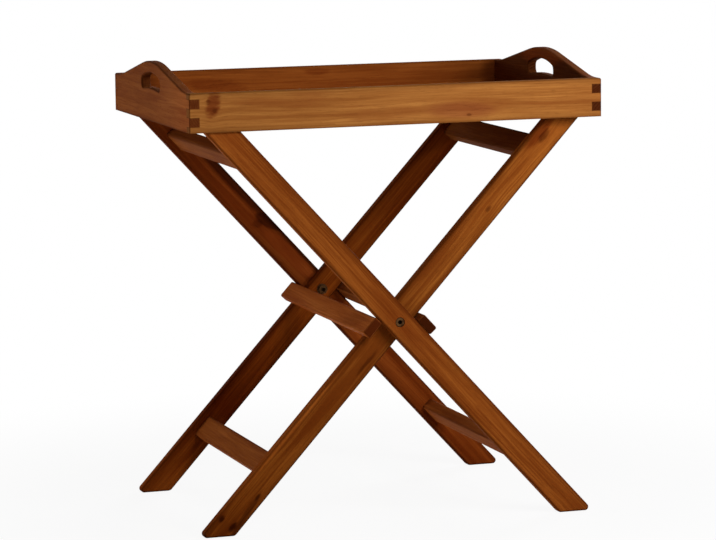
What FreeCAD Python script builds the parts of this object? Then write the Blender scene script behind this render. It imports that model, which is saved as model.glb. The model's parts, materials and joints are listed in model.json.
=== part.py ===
import FreeCAD, Part
import os
import re
import Sketcher

# A butlers tray table: a lift-off teak tray on a folding stand of two crossed frames.
# Millimetres. X runs along the tray, Y from front to back and Z up, from the floor under the pivot.

SIZES = {
    # Tray
    "tray_length": "650",
    "tray_width": "430",
    "rim_height": "610.5",
    "wall_height": "58.5",
    "wall_thickness": "15",
    "crown_rise": "33",
    "crown_radius": "245",
    "hollow_radius": "170",
    "finger_height": "13",
    "finger_pitch": "27",
    "grip_width": "106",
    "grip_base": "47",
    "grip_side": "17",
    "grip_depth": "17.5",
    "grip_hump": "4",
    "grip_corner": "8",
    "rim_round": "3",
    "grip_round": "3",
    "corner_round": "1.5",
    "floor_thickness": "10",
    "board_count": "6",
    "board_bevel": "0.8",
    "tongue_thickness": "4",
    "tongue_reach": "5",
    # Stand
    "stand_width": "419.5",
    "pivot_height": "312",
    "leg_width": "41",
    "leg_thickness": "18",
    "leg_setback": "24.5",
    "leg_round": "4",
    "tip_round": "5.5",
    "heel_round": "8",
    "rail_width": "37",
    "rail_thickness": "20",
    "rail_round": "4",
    "top_rail_rise": "340",
    "lower_rail_drop": "291",
    "tenon_width": "25",
    "tenon_thickness": "10",
    "tenon_length": "12",
    "bar_width": "30",
    "bar_thickness": "15",
    "bar_round": "3",
    "dowel_diameter": "6",
    "dowel_length": "24",
    "dowel_in_bar": "9",
    "dowel_spacing": "14",
    # Pivot hardware
    "bolt_diameter": "8",
    "head_diameter": "13",
    "head_height": "5",
    "head_recess": "0.8",
    "socket_size": "6",
    "socket_depth": "3",
    "spacer_diameter": "20",
    "spacer_thickness": "1.3",
    "washer_diameter": "17",
    "washer_thickness": "1.6",
    "nut_size": "13",
    "nut_height": "6.5",
    "bolt_tip": "1.5",
    # Clearances
    "glue_line": "0.05",
    "board_gap": "0.1",
    "seat_clearance": "0.2",
    "stop_clearance": "0.3",
    "pivot_clearance": "0.08",
    "head_clearance": "1",
    "turning_gap": "0.2",
}

# The tray's flush underside stands on the level tops of the legs, set back from its ends.
# Its lower rim lies at rim_height, or higher where the top rails need longer legs under it.
DERIVED = {
    "half_length": "=tray_length / 2",
    "half_width": "=tray_width / 2",
    "inner_half_length": "=half_length - wall_thickness",
    "inner_half_width": "=half_width - wall_thickness",
    "finger_low_base": "=(wall_height - finger_pitch - finger_height) / 2",
    "finger_low_top": "=finger_low_base + finger_height",
    "finger_high_base": "=finger_low_base + finger_pitch",
    "finger_high_top": "=finger_high_base + finger_height",
    "crown_height": "=wall_height + crown_rise",
    "ogee_span": "=inner_half_width - glue_line",
    # A straight flank touches both the round of the crown and the hollow at its foot.
    "radius_sum": "=crown_radius + hollow_radius",
    "radius_drop": "=radius_sum - crown_rise",
    "radius_reach": "=sqrt(ogee_span ^ 2 + radius_drop ^ 2)",
    "flank_slope": "=asin(radius_sum / radius_reach) - asin(radius_drop / radius_reach)",
    "flank_top_y": "=crown_radius * sin(flank_slope)",
    "flank_top_z": "=crown_height - crown_radius * (1 - cos(flank_slope))",
    "flank_foot_y": "=ogee_span - hollow_radius * sin(flank_slope)",
    "flank_foot_z": "=wall_height + hollow_radius * (1 - cos(flank_slope))",
    "grip_top": "=crown_height - grip_depth",
    "grip_arch": "=grip_top - grip_base - grip_side",
    "grip_radius": "=(grip_width ^ 2 / 4 + grip_arch ^ 2) / (2 * grip_arch)",
    "hump_radius": "=(grip_width ^ 2 / 4 + grip_hump ^ 2) / (2 * grip_hump)",
    "grip_end_round": "=min(grip_corner; grip_side / 2)",
    "tongue_base": "=(floor_thickness - tongue_thickness) / 2",
    "tongue_top": "=tongue_base + tongue_thickness",
    "groove_depth": "=tongue_reach + board_gap",
    "board_pitch": "=2 * inner_half_width / board_count",
    "rim_rise": "=rim_height - seat_clearance - pivot_height",
    "leg_reach": "=half_length - leg_setback",
    "rail_room": "=top_rail_rise + rail_width / 2 + leg_width",
    "leg_upper": "=max(rail_room; sqrt(rim_rise ^ 2 + leg_reach ^ 2 - leg_width ^ 2 / 4))",
    "leg_corner": "=sqrt(leg_upper ^ 2 + leg_width ^ 2 / 4)",
    "leg_rise": "=sqrt(leg_corner ^ 2 - leg_reach ^ 2)",
    "tray_base": "=pivot_height + leg_rise + seat_clearance",
    "slope": "=asin(leg_rise / leg_corner) + asin(leg_width / 2 / leg_corner)",
    "leg_skew": "=leg_width / 2 / tan(slope)",
    "foot_along": "=pivot_height / sin(slope)",
    "top_along": "=leg_rise / sin(slope)",
    "leg_gap": "=spacer_thickness + turning_gap",
    "outer_leg_y": "=stand_width / 2 - leg_thickness / 2",
    "inner_leg_y": "=outer_leg_y - leg_thickness - leg_gap",
    "bar_lean": "=max(0; bar_thickness * cos(2 * slope) / sin(2 * slope))",
    "bar_start": "=leg_skew + bar_lean + stop_clearance",
    "bar_middle": "=bar_start + bar_width / 2",
    "head_seat": "=head_recess + head_height + turning_gap",
    "washer_start": "=2 * leg_thickness + leg_gap",
    "bolt_end": "=washer_start + washer_thickness + nut_height + bolt_tip",
}

FRONT = 1
REAR = -1
CLOSE = 0.01  # two places nearer than this are the same place

doc = FreeCAD.newDocument("butlers_tray_table")
sheet = doc.addObject("Spreadsheet::Sheet", "sizes")
for row, (alias, text) in enumerate(list(SIZES.items()) + list(DERIVED.items()), start=1):
    sheet.set(f"A{row}", alias)
    sheet.set(f"B{row}", text)
    sheet.setAlias(f"B{row}", alias)
doc.recompute()

nodes = []


def cell(text):
    """An expression in the sheet's own words, with each word pointed at its cell."""
    known = SIZES.keys() | DERIVED.keys()
    return re.sub(r"[a-z_]+", lambda word: "sizes." * (word.group() in known) + word.group(), text)


def size(text):
    """The present value of such an expression."""
    result = sheet.evalExpression(cell(text))
    return float(getattr(result, "Value", result))


def bind(thing, prop, text):
    thing.setExpression(prop, cell(text))


def new_body(label):
    body = doc.addObject("PartDesign::Body", label)
    body.Label = label
    nodes.append(body)
    return body


def place(thing, x="0", y="0", z="0", axis=(0, 0, 1), angle="0"):
    """Puts a sub-part where it belongs, turned about one axis, from the sheet's values."""
    thing.Placement = FreeCAD.Placement(FreeCAD.Vector(), FreeCAD.Rotation(FreeCAD.Vector(axis), 1))
    bind(thing, "Placement.Rotation.Angle", angle)
    bind(thing, "Placement.Base.x", x)
    bind(thing, "Placement.Base.y", y)
    bind(thing, "Placement.Base.z", z)


def new_sketch(body, plane_role, offset=None):
    sketch = body.newObject("Sketcher::SketchObject", f"{body.Name}_sketch")
    plane = next(feature for feature in body.Origin.OriginFeatures if feature.Role == plane_role)
    sketch.AttachmentSupport = [(plane, "")]
    sketch.MapMode = "FlatFace"
    if offset:
        bind(sketch, "AttachmentOffset.Base.z", offset)
    return sketch


def fix_point(sketch, geometry, position, x, y):
    """Holds one point of a sketch at a distance from its origin."""
    for kind, text in (("DistanceX", x), ("DistanceY", y)):
        constraint = Sketcher.Constraint(kind, -1, 1, geometry, position, size(text))
        bind(sketch, f"Constraints[{sketch.addConstraint(constraint)}]", text)


def arc_between(start, end, radius, turn):
    """The shorter arc from start to end; turn is 1 where it bends to the left and -1 to the right."""
    chord = end - start
    middle = (start + end) / 2
    height = max(radius ** 2 - chord.Length ** 2 / 4, 0) ** 0.5
    left = FreeCAD.Vector(-chord.y, chord.x, 0).normalize()
    centre = middle + left * height * turn
    crest = centre - left * radius * turn
    return Part.Arc(start, crest, end)


def outline(sketch, corners, arcs=None):
    """A closed outline through the corners; arcs maps a side's number to its radius and turn."""
    arcs = arcs or {}
    count = len(corners)
    points = [FreeCAD.Vector(size(x), size(y), 0) for x, y in corners]
    sides = []
    for side, start in enumerate(points):
        end = points[(side + 1) % count]
        if side in arcs:
            radius, turn = arcs[side]
            geometry = sketch.addGeometry(arc_between(start, end, size(radius), turn))
            sides.append((geometry, 1, 2) if turn > 0 else (geometry, 2, 1))
        else:
            sides.append((sketch.addGeometry(Part.LineSegment(start, end)), 1, 2))
    for side, (geometry, first, last) in enumerate(sides):
        following, its_first, _ = sides[(side + 1) % count]
        sketch.addConstraint(Sketcher.Constraint("Coincident", geometry, last, following, its_first))
    for (geometry, first, _), (x, y) in zip(sides, corners):
        fix_point(sketch, geometry, first, x, y)
    for side, (radius, _) in arcs.items():
        constraint = Sketcher.Constraint("Radius", sides[side][0], size(radius))
        bind(sketch, f"Constraints[{sketch.addConstraint(constraint)}]", radius)


def rectangle(sketch, left, right, bottom, top):
    outline(sketch, [(left, bottom), (right, bottom), (right, top), (left, top)])


def circle(sketch, x, y, diameter):
    centre = FreeCAD.Vector(size(x), size(y), 0)
    ring = Part.Circle(centre, FreeCAD.Vector(0, 0, 1), size(diameter) / 2)
    geometry = sketch.addGeometry(ring)
    fix_point(sketch, geometry, 3, x, y)
    constraint = Sketcher.Constraint("Diameter", geometry, size(diameter))
    bind(sketch, f"Constraints[{sketch.addConstraint(constraint)}]", diameter)


def pad(body, sketch, length):
    """Wood added evenly on both sides of the sketch."""
    feature = body.newObject("PartDesign::Pad", f"{body.Name}_pad")
    feature.Profile = sketch
    feature.SideType = "Symmetric"
    bind(feature, "Length", length)
    doc.recompute()
    return feature


def pocket(body, sketch, length, direction=0):
    """A cut along the sketch's normal (1), against it (-1) or evenly to both sides (0)."""
    before = body.Shape.Volume
    feature = body.newObject("PartDesign::Pocket", f"{body.Name}_pocket")
    feature.Profile = sketch
    feature.SideType = "One side" if direction else "Symmetric"
    feature.Reversed = direction > 0
    bind(feature, "Length", length)
    doc.recompute()
    if body.Shape.Volume >= before:
        raise RuntimeError(f"a cut in {body.Label} removes nothing")
    return feature


def fillet(body, radius, wanted):
    """Rounds the edges of the body for which wanted(edge) holds."""
    names = [f"Edge{i}" for i, edge in enumerate(body.Shape.Edges, start=1) if wanted(edge)]
    feature = body.newObject("PartDesign::Fillet", f"{body.Name}_fillet")
    feature.Base = (body.Tip if body.Tip != feature else feature.BaseFeature, names)
    bind(feature, "Radius", radius)
    doc.recompute()
    return feature


def near(value, target):
    return abs(value - target) < CLOSE


def edge_lies(edge, **planes):
    """True where the whole edge lies at each given coordinate, such as x=10, in the body's own frame."""
    box = edge.BoundBox
    low = {"x": box.XMin, "y": box.YMin, "z": box.ZMin}
    high = {"x": box.XMax, "y": box.YMax, "z": box.ZMax}
    return all(near(low[axis], at) and near(high[axis], at) for axis, at in planes.items())


# Tray

def long_wall(label, facing):
    """Front or rear wall: fingers at the ends, a groove for the floor and rounded top edges."""
    body = new_body(label)
    fingers = [("finger_low_base", "inner_half_length"), ("finger_low_top", "half_length"),
               ("finger_high_base", "inner_half_length"), ("finger_high_top", "half_length")]
    right = [("half_length", "0")]
    reach = "half_length"
    for level, next_reach in fingers:
        right += [(reach, level), (next_reach, level)]
        reach = next_reach
    right.append(("half_length", "wall_height"))
    left = [(f"-{x}", z) for x, z in reversed(right)]
    face = new_sketch(body, "XZ_Plane")
    outline(face, right + left)
    pad(body, face, "wall_thickness")

    half_wall = size("wall_thickness / 2")
    end = size("half_length")
    top = size("wall_height")

    def outer_rim(edge):
        on_face = edge_lies(edge, y=-half_wall, z=top)
        return on_face or edge_lies(edge, x=end, z=top) or edge_lies(edge, x=-end, z=top)

    fillet(body, "rim_round", outer_rim)
    fillet(body, "corner_round", lambda edge: edge_lies(edge, x=end, y=-half_wall)
           or edge_lies(edge, x=-end, y=-half_wall))

    inner_rim = new_sketch(body, "YZ_Plane")
    inside = "wall_thickness / 2"
    outline(inner_rim, [(inside, "wall_height - rim_round"), (inside, "wall_height"),
                        (f"{inside} - rim_round", "wall_height")], {2: ("rim_round", -1)})
    pocket(body, inner_rim, "2 * inner_half_length")

    groove = new_sketch(body, "YZ_Plane")
    rectangle(groove, f"{inside} - groove_depth", inside,
              "tongue_base - board_gap", "tongue_top + board_gap")
    pocket(body, groove, "2 * inner_half_length")
    place(body, y=f"-{facing} * (half_width - wall_thickness / 2)", z="tray_base",
          angle="0" if facing == FRONT else "180")


def end_panel(label, turn):
    """End panel: finger joints, an ogee crown, a kidney-shaped hand hole and a groove for the floor."""
    body = new_body(label)
    shoulder = "ogee_span"
    front = [(shoulder, "0")]
    for base, top in (("finger_low_base", "finger_low_top"), ("finger_high_base", "finger_high_top")):
        front += [(shoulder, f"{base} + glue_line"), ("half_width", f"{base} + glue_line"),
                  ("half_width", f"{top} - glue_line"), (shoulder, f"{top} - glue_line")]
    front += [(shoulder, "wall_height"), ("flank_foot_y", "flank_foot_z"), ("flank_top_y", "flank_top_z")]
    rear = [(f"-({y})", z) for y, z in reversed(front)]
    face = new_sketch(body, "YZ_Plane")
    crown = len(front) - 1
    outline(face, front + rear, {crown - 2: ("hollow_radius", -1), crown: ("crown_radius", 1),
                                 crown + 2: ("hollow_radius", -1)})
    pad(body, face, "wall_thickness")

    half_wall = size("wall_thickness / 2")
    wall = size("wall_height")
    end = size("half_width")

    def crown_rim(edge):
        on_face = edge_lies(edge, x=-half_wall) or edge_lies(edge, x=half_wall)
        return on_face and edge.BoundBox.ZMin > wall - CLOSE

    fillet(body, "rim_round", crown_rim)

    grip = new_sketch(body, "YZ_Plane")
    half_grip = "grip_width / 2"
    outline(grip, [(f"-{half_grip}", "grip_base"), (half_grip, "grip_base"),
                   (half_grip, "grip_base + grip_side"), (f"-{half_grip}", "grip_base + grip_side")],
            {0: ("hump_radius", -1), 2: ("grip_radius", 1)})
    pocket(body, grip, "2 * wall_thickness")

    def grip_end(edge):
        box = edge.BoundBox
        across = near(box.XMax - box.XMin, 2 * half_wall)
        return across and near(abs(box.YMax), size(half_grip)) and near(box.YMin, box.YMax)

    fillet(body, "grip_end_round", grip_end)

    def grip_rim(edge):
        on_face = edge_lies(edge, x=-half_wall) or edge_lies(edge, x=half_wall)
        box = edge.BoundBox
        level = box.ZMin > size("grip_base") - CLOSE and box.ZMax < size("grip_top") + CLOSE
        return on_face and level and max(-box.YMin, box.YMax) < size(half_grip) + CLOSE

    fillet(body, "grip_round", grip_rim)
    fillet(body, "corner_round", lambda edge: edge_lies(edge, x=-half_wall, y=end)
           or edge_lies(edge, x=-half_wall, y=-end))

    groove = new_sketch(body, "XZ_Plane")
    rectangle(groove, "wall_thickness / 2 - groove_depth", "wall_thickness / 2",
              "tongue_base - board_gap", "tongue_top + board_gap")
    pocket(body, groove, f"2 * {shoulder}")
    place(body, x="wall_thickness / 2 - half_length" if turn == "0" else "half_length - wall_thickness / 2",
          z="tray_base", angle=turn)


def floor_board(number):
    """One tongued and grooved board; the first has a tongue on its front edge for the wall's groove."""
    body = new_body(f"tray_floor_board_{number}")
    front = "board_gap / 2"
    back = "board_pitch - board_gap / 2"
    tip = f"{back} + tongue_reach"
    section = [(front, "0"), (back, "0"), (back, "tongue_base"), (tip, "tongue_base"), (tip, "tongue_top"),
               (back, "tongue_top"), (back, "floor_thickness - board_bevel"),
               (f"{back} - board_bevel", "floor_thickness"), (f"{front} + board_bevel", "floor_thickness"),
               (front, "floor_thickness - board_bevel")]
    if number == 1:
        front_tip = f"{front} - tongue_reach"
        section += [(front, "tongue_top"), (front_tip, "tongue_top"),
                    (front_tip, "tongue_base"), (front, "tongue_base")]
    else:
        depth = f"{front} + groove_depth"
        section += [(front, "tongue_top + board_gap"), (depth, "tongue_top + board_gap"),
                    (depth, "tongue_base - board_gap"), (front, "tongue_base - board_gap")]
    profile = new_sketch(body, "YZ_Plane")
    outline(profile, section)
    pad(body, profile, "2 * (inner_half_length - board_gap)")
    end_tongue = new_sketch(body, "YZ_Plane")
    solid_front = front if number == 1 else f"{front} + groove_depth"
    rectangle(end_tongue, solid_front, back, "tongue_base", "tongue_top")
    pad(body, end_tongue, "2 * (inner_half_length + tongue_reach - board_gap)")
    place(body, y=f"{number - 1} * board_pitch - inner_half_width", z="tray_base")


# Stand: each frame is drawn along its own legs, X up the leg from the pivot and Z across it.
# On the inner frame the upper edge of the lower leg half is at +Z, on the outer frame at -Z.

def at_corner(edge, *corners):
    """True for an edge across the thickness at one of the outline's corners."""
    return any(edge_lies(edge, x=size(x), z=size(z)) for x, z in corners)


def place_in_frame(thing, upper, y="0"):
    angle = "-slope" if upper > 0 else "slope - 180 deg"
    place(thing, y=y, z="pivot_height", axis=(0, 1, 0), angle=angle)


def leg(label, upper, side, leg_y, sunk_head):
    """One leg, cut level at both ends, with rounded edges, mortises, pivot bore and dowel holes."""
    body = new_body(label)
    upper_side = f"{upper} * leg_width / 2"
    lower_side = f"{-upper} * leg_width / 2"
    face = new_sketch(body, "XZ_Plane")
    corners = [("leg_skew - foot_along", lower_side), ("top_along + leg_skew", lower_side),
               ("top_along - leg_skew", upper_side), ("-foot_along - leg_skew", upper_side)]
    outline(face, corners if upper > 0 else corners[::-1])
    pad(body, face, "leg_thickness")
    half_thick = size("leg_thickness / 2")
    fillet(body, "tip_round", lambda edge: at_corner(edge, corners[3]))
    fillet(body, "heel_round", lambda edge: at_corner(edge, corners[0]))

    def below_top(edge):
        on_face = edge_lies(edge, y=-half_thick) or edge_lies(edge, y=half_thick)
        return on_face and edge.BoundBox.XMin < 0

    fillet(body, "leg_round", below_top)

    bore = new_sketch(body, "XZ_Plane")
    circle(bore, "0", "0", "bolt_diameter + 2 * pivot_clearance")
    pocket(body, bore, "2 * leg_thickness")

    inner_face = f"{-side} * leg_thickness / 2"
    for along in ("top_rail_rise", "-lower_rail_drop"):
        mortise = new_sketch(body, "XZ_Plane", inner_face)
        rectangle(mortise,
                  f"{along} - tenon_width / 2 - glue_line", f"{along} + tenon_width / 2 + glue_line",
                  "-tenon_thickness / 2 - glue_line", "tenon_thickness / 2 + glue_line")
        pocket(body, mortise, "tenon_length + glue_line", direction=side)

    if sunk_head:
        outer_face = f"{side} * leg_thickness / 2"
        recess = new_sketch(body, "XZ_Plane", outer_face)
        circle(recess, "0", "0", "head_diameter + 2 * head_clearance")
        pocket(body, recess, "head_seat", direction=-side)

    holes = new_sketch(body, "XY_Plane", upper_side)
    for sign in ("-", "+"):
        circle(holes, f"-bar_middle {sign} dowel_spacing / 2", "0", "dowel_diameter + 2 * glue_line")
    pocket(body, holes, "dowel_length - dowel_in_bar + glue_line", direction=-upper)
    place_in_frame(body, upper, f"{-side} * {leg_y}")


def rail(label, upper, along, leg_y):
    """A rail with a tenon at each end, between the two legs of one frame."""
    body = new_body(label)
    section = new_sketch(body, "XZ_Plane")
    rectangle(section, f"{along} - rail_width / 2", f"{along} + rail_width / 2",
              "-rail_thickness / 2", "rail_thickness / 2")
    pad(body, section, f"2 * {leg_y} - leg_thickness")
    length = size(f"2 * {leg_y} - leg_thickness")
    fillet(body, "rail_round", lambda edge: near(edge.BoundBox.YMax - edge.BoundBox.YMin, length))
    tenon = new_sketch(body, "XZ_Plane")
    rectangle(tenon, f"{along} - tenon_width / 2", f"{along} + tenon_width / 2",
              "-tenon_thickness / 2", "tenon_thickness / 2")
    pad(body, tenon, f"2 * ({leg_y} - leg_thickness / 2 + tenon_length)")
    place_in_frame(body, upper)


def stop_bar(label, upper, leg_y):
    """A bar across the upper edges of one frame's legs, against which the other frame's legs stop."""
    body = new_body(label)
    section = new_sketch(body, "XZ_Plane")
    levels = [f"{upper} * leg_width / 2", f"{upper} * (leg_width / 2 + bar_thickness)"]
    low, high = levels if upper > 0 else levels[::-1]
    rectangle(section, "-bar_start - bar_width", "-bar_start", low, high)
    pad(body, section, "stand_width")
    fillet(body, "bar_round", lambda edge: True)
    holes = new_sketch(body, "XY_Plane", f"{upper} * leg_width / 2")
    for sign in ("-", "+"):
        for y_sign in ("-", ""):
            circle(holes, f"-bar_middle {sign} dowel_spacing / 2", f"{y_sign}{leg_y}",
                   "dowel_diameter + 2 * glue_line")
    pocket(body, holes, "dowel_in_bar + glue_line", direction=upper)
    place_in_frame(body, upper)


def group(label, members):
    compound = doc.addObject("Part::Compound", label)
    compound.Links = members
    compound.Label = label
    nodes.append(compound)
    return compound


def bar_dowels(label, upper, leg_y):
    """The hidden dowels of one stop bar, two in each leg."""
    pins = []
    for y_sign in ("-", ""):
        for sign in ("-", "+"):
            pin = doc.addObject("Part::Cylinder", f"{label}_pin")
            bind(pin, "Radius", "dowel_diameter / 2")
            bind(pin, "Height", "dowel_length")
            low = "leg_width / 2 - (dowel_length - dowel_in_bar)"
            base = low if upper > 0 else f"-({low}) - dowel_length"
            place(pin, x=f"-bar_middle {sign} dowel_spacing / 2", y=f"{y_sign}{leg_y}", z=base)
            pins.append(pin)
    place_in_frame(group(label, pins), upper)


# Pivot hardware: drawn along Z from the outer face of the outer leg towards the table's middle.

def cylinder(name, diameter, start, length):
    thing = doc.addObject("Part::Cylinder", name)
    bind(thing, "Radius", f"({diameter}) / 2")
    bind(thing, "Height", length)
    place(thing, z=start)
    return thing


def hexagon(name, across_flats, start, length):
    thing = doc.addObject("Part::Prism", name)
    thing.Polygon = 6
    bind(thing, "Circumradius", f"{across_flats} / 2 / cos(30)")
    bind(thing, "Height", length)
    place(thing, z=start)
    return thing


def combine(kind, name, base, tool):
    thing = doc.addObject(kind, name)
    thing.Base = base
    thing.Tool = tool
    return thing


def socket_bolt(name):
    head = cylinder(f"{name}_head", "head_diameter", "head_recess", "head_height")
    shank = cylinder(f"{name}_shank", "bolt_diameter", "head_recess", "bolt_end - head_recess")
    blank = combine("Part::Fuse", f"{name}_blank", head, shank)
    socket = hexagon(f"{name}_socket", "socket_size", "head_recess", "socket_depth")
    return combine("Part::Cut", name, blank, socket)


def ring(name, diameter, start, length):
    disc = cylinder(f"{name}_disc", diameter, start, length)
    bore = cylinder(f"{name}_bore", "bolt_diameter + 2 * pivot_clearance", start, length)
    return combine("Part::Cut", name, disc, bore)


def hex_nut(name):
    start = "washer_start + washer_thickness"
    blank = hexagon(f"{name}_blank", "nut_size", start, "nut_height")
    bore = cylinder(f"{name}_bore", "bolt_diameter + 2 * pivot_clearance", start, "nut_height")
    return combine("Part::Cut", name, blank, bore)


def at_both_pivots(label, make):
    """One piece of hardware at the front pivot and one at the rear, as one node."""
    members = []
    for side, angle in ((FRONT, "-90"), (REAR, "90")):
        piece = make(f"{label}_{'front' if side == FRONT else 'rear'}")
        place(piece, y=f"{-side} * stand_width / 2", z="pivot_height", axis=(1, 0, 0), angle=angle)
        members.append(piece)
    group(label, members)


def spacer(name):
    return ring(name, "spacer_diameter", "leg_thickness + turning_gap", "spacer_thickness")


def nut_washer(name):
    return ring(name, "washer_diameter", "washer_start", "washer_thickness")


def build_tray():
    long_wall("tray_front_wall", FRONT)
    long_wall("tray_rear_wall", REAR)
    end_panel("tray_left_end", "0")
    end_panel("tray_right_end", "180")
    for number in range(1, int(size("board_count")) + 1):
        floor_board(number)


def build_frame(name, upper, leg_y, sunk_head):
    leg(f"{name}_leg_front", upper, FRONT, leg_y, sunk_head)
    leg(f"{name}_leg_rear", upper, REAR, leg_y, sunk_head)
    rail(f"{name}_top_rail", upper, "top_rail_rise", leg_y)
    rail(f"{name}_lower_rail", upper, "-lower_rail_drop", leg_y)
    stop_bar(f"{name}_stop_bar", upper, leg_y)
    bar_dowels(f"{name}_bar_dowels", upper, leg_y)


def build_pivots():
    at_both_pivots("pivot_bolts", socket_bolt)
    at_both_pivots("pivot_spacers", spacer)
    at_both_pivots("pivot_washers", nut_washer)
    at_both_pivots("pivot_nuts", hex_nut)


def write_parts():
    """Writes each sub-part once the whole document has recomputed without a fault."""
    doc.recompute()
    for thing in doc.Objects:
        if "Invalid" in thing.State or "Error" in thing.State:
            raise RuntimeError(f"{thing.Label} failed: {thing.State}")
    for node in nodes:
        if node.Shape.isNull() or not node.Shape.isValid():
            raise RuntimeError(f"{node.Label} has no valid shape")
    os.makedirs("parts", exist_ok=True)
    for node in nodes:
        node.Shape.exportStep(f"parts/{node.Label}.step")


build_tray()
build_frame("inner", 1, "inner_leg_y", sunk_head=False)
build_frame("outer", -1, "outer_leg_y", sunk_head=True)
build_pivots()
write_parts()
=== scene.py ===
"""Looks for a butlers tray table: oiled teak on the tray and folding stand, beech dowels, steel pivots.

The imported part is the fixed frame. One operator finishes each group of like pieces, and one sets the stage.
"""

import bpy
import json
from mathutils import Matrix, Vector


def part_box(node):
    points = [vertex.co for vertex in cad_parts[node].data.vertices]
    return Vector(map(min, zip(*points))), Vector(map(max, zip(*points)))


bl_info = {
    "name": "Butlers tray table",
    "version": (1, 0, 0),
    "blender": (4, 5, 0),
    "location": "View3D > Sidebar > Tray table",
    "description": "Finishes a teak butlers tray table and sets it in a studio",
    "category": "Object",
}

import json
import math
from collections import namedtuple
from dataclasses import dataclass

import bpy
from bpy.props import FloatProperty, FloatVectorProperty, PointerProperty
from mathutils import Matrix, Vector

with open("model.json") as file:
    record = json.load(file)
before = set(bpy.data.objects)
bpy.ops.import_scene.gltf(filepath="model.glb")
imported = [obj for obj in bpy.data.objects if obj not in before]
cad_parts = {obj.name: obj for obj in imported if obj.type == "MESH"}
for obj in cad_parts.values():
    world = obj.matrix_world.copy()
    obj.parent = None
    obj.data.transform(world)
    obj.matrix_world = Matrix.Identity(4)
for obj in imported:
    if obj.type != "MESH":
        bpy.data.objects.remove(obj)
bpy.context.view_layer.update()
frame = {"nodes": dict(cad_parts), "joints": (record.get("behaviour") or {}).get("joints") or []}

PIVOT = Vector(frame["joints"][0]["pos_m"])
AXES = {"x": Vector((1, 0, 0)), "y": Vector((0, 1, 0)), "z": Vector((0, 0, 1))}


# Settings

def colour(name, description, default):
    return FloatVectorProperty(name=name, description=description, default=default, subtype="COLOR",
                               size=3, min=0, max=1)


def share(name, description, default):
    return FloatProperty(name=name, description=description, default=default, subtype="FACTOR", min=0, max=1)


def length(name, description, default):
    return FloatProperty(name=name, description=description, default=default, unit="LENGTH", min=0)


def power(name, description, default):
    return FloatProperty(name=name, description=description, default=default, unit="POWER", min=0)


def angle(name, description, degrees):
    return FloatProperty(name=name, description=description, default=math.radians(degrees), unit="ROTATION")


class TeakSettings(bpy.types.PropertyGroup):
    wall_tone: colour("Front wall", "Teak of the tray's front wall", (0.435, 0.166, 0.037))
    # A darker, redder copy of the front wall's teak, as painted shade for the rear wall
    rear_wall_shaded_tone: colour("Rear wall", "Teak of the tray's rear wall", (0.36, 0.095, 0.015))
    end_tone: colour("End panels", "Teak of the tray's two end panels", (0.275, 0.081, 0.0195))
    floor_tone: colour("Floor boards", "Teak of the tray's floor", (0.33, 0.115, 0.030))
    leg_tone: colour("Legs", "Teak of the stand's four legs", (0.31, 0.089, 0.0125))
    rail_tone: colour("Rails", "Teak of the stand's four rails", (0.27, 0.072, 0.013))
    bar_tone: colour("Stop bars", "Teak of the stand's two stop bars", (0.42, 0.118, 0.024))
    ring_spacing: length("Ring spacing", "Distance between two growth rings", 0.0036)
    ring_shade: share("Ring contrast", "How dark the late wood of a ring is", 0.38)
    streak_shade: share("Streak contrast", "How much the wood varies in streaks along the grain", 0.8)
    line_shade: share("Line contrast", "How dark the finer lines along the grain are", 0.45)
    cloud_shade: share("Cloud contrast", "How red the broad clouds in the wood are", 0.55)
    fibre_shade: share("Fibre contrast", "How dark the finest fibres are", 0.28)
    pore_shade: share("Pore contrast", "How dark the open pores are", 0.45)
    # Shoulder, underside, edge and corner shade are painted shade
    shoulder_shade: share("Shoulder shade", "How much a face darkens towards its long edges", 0.42)
    under_shade: share("Underside shade", "How dark the lower edges are", 0.55)
    line_depth: share("Outline", "How dark the thin line at a wall's ends and foot is", 0.45)
    edge_shade: share("Edge shade", "How dark the rounded edges are", 0.45)
    corner_shade: share("Corner shade", "How dark the rounded corners between face and end are", 0.6)
    joint_shade: share("Joint lines", "How dark the lines round the finger joints are", 0.75)
    end_shade: share("End grain", "How much darker end grain takes the oil", 0.85)
    sheen: share("Roughness", "Roughness of the oiled surface", 0.60)
    gloss: share("Specular level", "Strength of the oil's reflections", 0.006)


class HardwareSettings(bpy.types.PropertyGroup):
    steel: colour("Steel", "Colour of the pivot hardware", (0.095, 0.046, 0.018))
    tarnish: colour("Tarnish", "Colour of dulled steel", (0.030, 0.010, 0.003))
    # Painted shade in the bolts' sockets: this colour, reaching as far as the socket radius
    socket_shade: colour("Grime", "Colour of the sockets of the bolts", (0.004, 0.002, 0.001))
    roughness: share("Roughness", "Roughness of bright steel", 0.38)
    socket_radius: length("Socket radius", "How far from the pivot's axis the bolts are dark", 0.0032)
    beech: colour("Beech", "Colour of the hidden dowels", (0.55, 0.36, 0.19))


class StageSettings(bpy.types.PropertyGroup):
    floor_colour: colour("Floor", "Colour of the studio floor", (0.88, 0.88, 0.87))
    floor_radius: length("Floor radius", "Distance at which the floor has faded to white", 1.1)
    floor_shadow: share("Floor shadow", "How much of the object's shadow the floor shows", 0.08)
    sky_level: share("Sky level", "Light from the surrounding studio", 0.01)
    key_light: power("Key light", "Power of the high front light", 17.7)
    side_light: power("Side light", "Power of the near right light", 6.3)
    floor_light: power("Floor light", "Power of the light off the floor", 4.0)
    rear_light: power("Rear light", "Power of the left rear light", 15.0)
    back_light: power("Back light", "Power of the right rear light", 34.0)
    camera_place: FloatVectorProperty(name="Camera", description="Where the camera stands", unit="LENGTH",
                                      subtype="TRANSLATION", default=(-1.6619, -4.9826, 1.0935))
    camera_yaw: angle("Camera yaw", "Turn of the view to the right of straight ahead", 18.487)
    camera_pitch: angle("Camera pitch", "How far the camera looks down", 7.901)
    camera_roll: angle("Camera roll", "Tilt of the picture", -0.622)


# Shader graphs as expressions

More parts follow.
